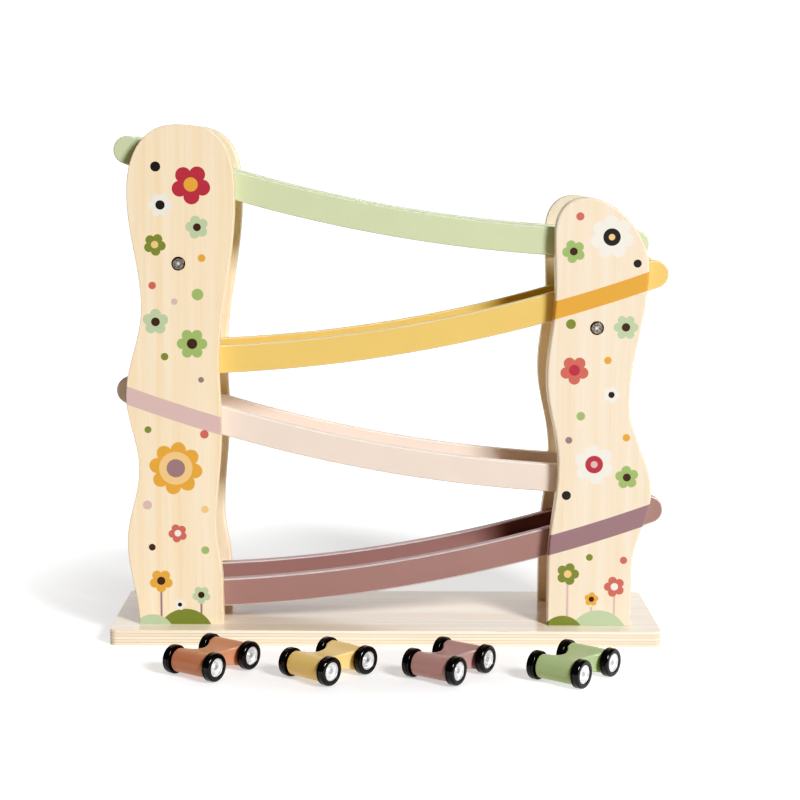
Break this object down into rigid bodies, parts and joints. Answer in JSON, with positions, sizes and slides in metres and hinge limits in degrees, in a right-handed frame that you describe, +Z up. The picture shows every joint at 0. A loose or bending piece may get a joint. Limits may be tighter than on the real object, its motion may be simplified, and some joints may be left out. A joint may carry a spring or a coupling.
{
  "type": "click clack track toy",
  "caption": "Wooden zigzag track toy: curved painted ramps between two pairs of wavy uprights on a base board, with small cars that roll down.",
  "frame": {"origin": "centre of the base board's underside", "axes": "+X along the base board to the right, +Y to the back, +Z up; the cars stand in front, at -Y"},
  "size_m": [0.387, 0.2261, 0.3586],
  "materials": {
    "birch_wood": "clear-lacquered pale plywood",
    "mauve_paint": "satin paint on wood",
    "pink_paint": "satin paint on wood",
    "yellow_paint": "satin paint on wood",
    "green_paint": "satin paint on wood",
    "dark_steel": "dark plated steel screws",
    "terracotta_car_paint": "satin paint on solid wood",
    "yellow_car_paint": "satin paint on solid wood",
    "mauve_car_paint": "satin paint on solid wood",
    "green_car_paint": "satin paint on solid wood",
    "axle_steel": "bright steel",
    "black_tyre": "glossy black rubber",
    "silver_hub": "bright dished metal"
  },
  "bodies": {
    "track": {"base_board": "birch_wood", "left_front_upright": "birch_wood", "left_back_upright": "birch_wood", "right_front_upright": "birch_wood", "right_back_upright": "birch_wood", "mauve_front_rail": "mauve_paint", "mauve_back_rail": "mauve_paint", "mauve_floor": "mauve_paint", "mauve_high_crossbar": "mauve_paint", "mauve_low_crossbar": "mauve_paint", "pink_front_rail": "pink_paint", "pink_back_rail": "pink_paint", "pink_floor": "pink_paint", "pink_high_crossbar": "pink_paint", "pink_low_crossbar": "pink_paint", "yellow_front_rail": "yellow_paint", "yellow_back_rail": "yellow_paint", "yellow_floor": "yellow_paint", "yellow_high_crossbar": "yellow_paint", "yellow_low_crossbar": "yellow_paint", "green_front_rail": "green_paint", "green_back_rail": "green_paint", "green_floor": "green_paint", "green_high_crossbar": "green_paint", "green_low_crossbar": "green_paint", "left_spreader": "birch_wood", "right_spreader": "birch_wood", "spreader_screws": "dark_steel", "base_screws": "dark_steel"},
    "terracotta_car": {"terracotta_car_body": "terracotta_car_paint"},
    "terracotta_car_front_wheels": {"terracotta_car_front_axle": "axle_steel", "terracotta_car_front_tyres": "black_tyre", "terracotta_car_front_hubs": "silver_hub"},
    "terracotta_car_rear_wheels": {"terracotta_car_rear_axle": "axle_steel", "terracotta_car_rear_tyres": "black_tyre", "terracotta_car_rear_hubs": "silver_hub"},
    "yellow_car": {"yellow_car_body": "yellow_car_paint"},
    "yellow_car_front_wheels": {"yellow_car_front_axle": "axle_steel", "yellow_car_front_tyres": "black_tyre", "yellow_car_front_hubs": "silver_hub"},
    "yellow_car_rear_wheels": {"yellow_car_rear_axle": "axle_steel", "yellow_car_rear_tyres": "black_tyre", "yellow_car_rear_hubs": "silver_hub"},
    "mauve_car": {"mauve_car_body": "mauve_car_paint"},
    "mauve_car_front_wheels": {"mauve_car_front_axle": "axle_steel", "mauve_car_front_tyres": "black_tyre", "mauve_car_front_hubs": "silver_hub"},
    "mauve_car_rear_wheels": {"mauve_car_rear_axle": "axle_steel", "mauve_car_rear_tyres": "black_tyre", "mauve_car_rear_hubs": "silver_hub"},
    "green_car": {"green_car_body": "green_car_paint"},
    "green_car_front_wheels": {"green_car_front_axle": "axle_steel", "green_car_front_tyres": "black_tyre", "green_car_front_hubs": "silver_hub"},
    "green_car_rear_wheels": {"green_car_rear_axle": "axle_steel", "green_car_rear_tyres": "black_tyre", "green_car_rear_hubs": "silver_hub"}
  },
  "joints": [
    {"name": "terracotta_car_roll", "type": "slide", "parent": "track", "child": "terracotta_car", "axis": [-0.5807, -0.8141, 0], "range_m": [-0.02, 0.12]},
    {"name": "terracotta_car_front_wheels_turn", "type": "hinge", "parent": "terracotta_car", "child": "terracotta_car_front_wheels", "pos_m": [-0.10469, -0.10705, 0.0095], "axis": [0.8141, -0.5807, 0], "continuous": true},
    {"name": "terracotta_car_rear_wheels_turn", "type": "hinge", "parent": "terracotta_car", "child": "terracotta_car_rear_wheels", "pos_m": [-0.12531, -0.13595, 0.0095], "axis": [0.8141, -0.5807, 0], "continuous": true},
    {"name": "yellow_car_roll", "type": "slide", "parent": "track", "child": "yellow_car", "axis": [-0.6561, -0.7547, 0], "range_m": [-0.02, 0.12]},
    {"name": "yellow_car_front_wheels_turn", "type": "hinge", "parent": "yellow_car", "child": "yellow_car_front_wheels", "pos_m": [-0.02635, -0.1161, 0.0095], "axis": [0.7547, -0.6561, 0], "continuous": true},
    {"name": "yellow_car_rear_wheels_turn", "type": "hinge", "parent": "yellow_car", "child": "yellow_car_rear_wheels", "pos_m": [-0.04965, -0.1429, 0.0095], "axis": [0.7547, -0.6561, 0], "continuous": true},
    {"name": "mauve_car_roll", "type": "slide", "parent": "track", "child": "mauve_car", "axis": [-0.5807, -0.8141, 0], "range_m": [-0.02, 0.12]},
    {"name": "mauve_car_front_wheels_turn", "type": "hinge", "parent": "mauve_car", "child": "mauve_car_front_wheels", "pos_m": [0.05181, -0.11355, 0.0095], "axis": [0.8141, -0.5807, 0], "continuous": true},
    {"name": "mauve_car_rear_wheels_turn", "type": "hinge", "parent": "mauve_car", "child": "mauve_car_rear_wheels", "pos_m": [0.03119, -0.14245, 0.0095], "axis": [0.8141, -0.5807, 0], "continuous": true},
    {"name": "green_car_roll", "type": "slide", "parent": "track", "child": "green_car", "axis": [-0.6225, -0.7826, 0], "range_m": [-0.02, 0.12]},
    {"name": "green_car_front_wheels_turn", "type": "hinge", "parent": "green_car", "child": "green_car_front_wheels", "pos_m": [0.13405, -0.12011, 0.0095], "axis": [0.7826, -0.6225, 0], "continuous": true},
    {"name": "green_car_rear_wheels_turn", "type": "hinge", "parent": "green_car", "child": "green_car_rear_wheels", "pos_m": [0.11195, -0.14789, 0.0095], "axis": [0.7826, -0.6225, 0], "continuous": true}
  ],
  "couplings": [
    {"joint": "terracotta_car_front_wheels_turn", "follows": "terracotta_car_roll", "rad_per_m": 105.26},
    {"joint": "terracotta_car_rear_wheels_turn", "follows": "terracotta_car_roll", "rad_per_m": 105.26},
    {"joint": "yellow_car_front_wheels_turn", "follows": "yellow_car_roll", "rad_per_m": 105.26},
    {"joint": "yellow_car_rear_wheels_turn", "follows": "yellow_car_roll", "rad_per_m": 105.26},
    {"joint": "mauve_car_front_wheels_turn", "follows": "mauve_car_roll", "rad_per_m": 105.26},
    {"joint": "mauve_car_rear_wheels_turn", "follows": "mauve_car_roll", "rad_per_m": 105.26},
    {"joint": "green_car_front_wheels_turn", "follows": "green_car_roll", "rad_per_m": 105.26},
    {"joint": "green_car_rear_wheels_turn", "follows": "green_car_roll", "rad_per_m": 105.26}
  ]
}
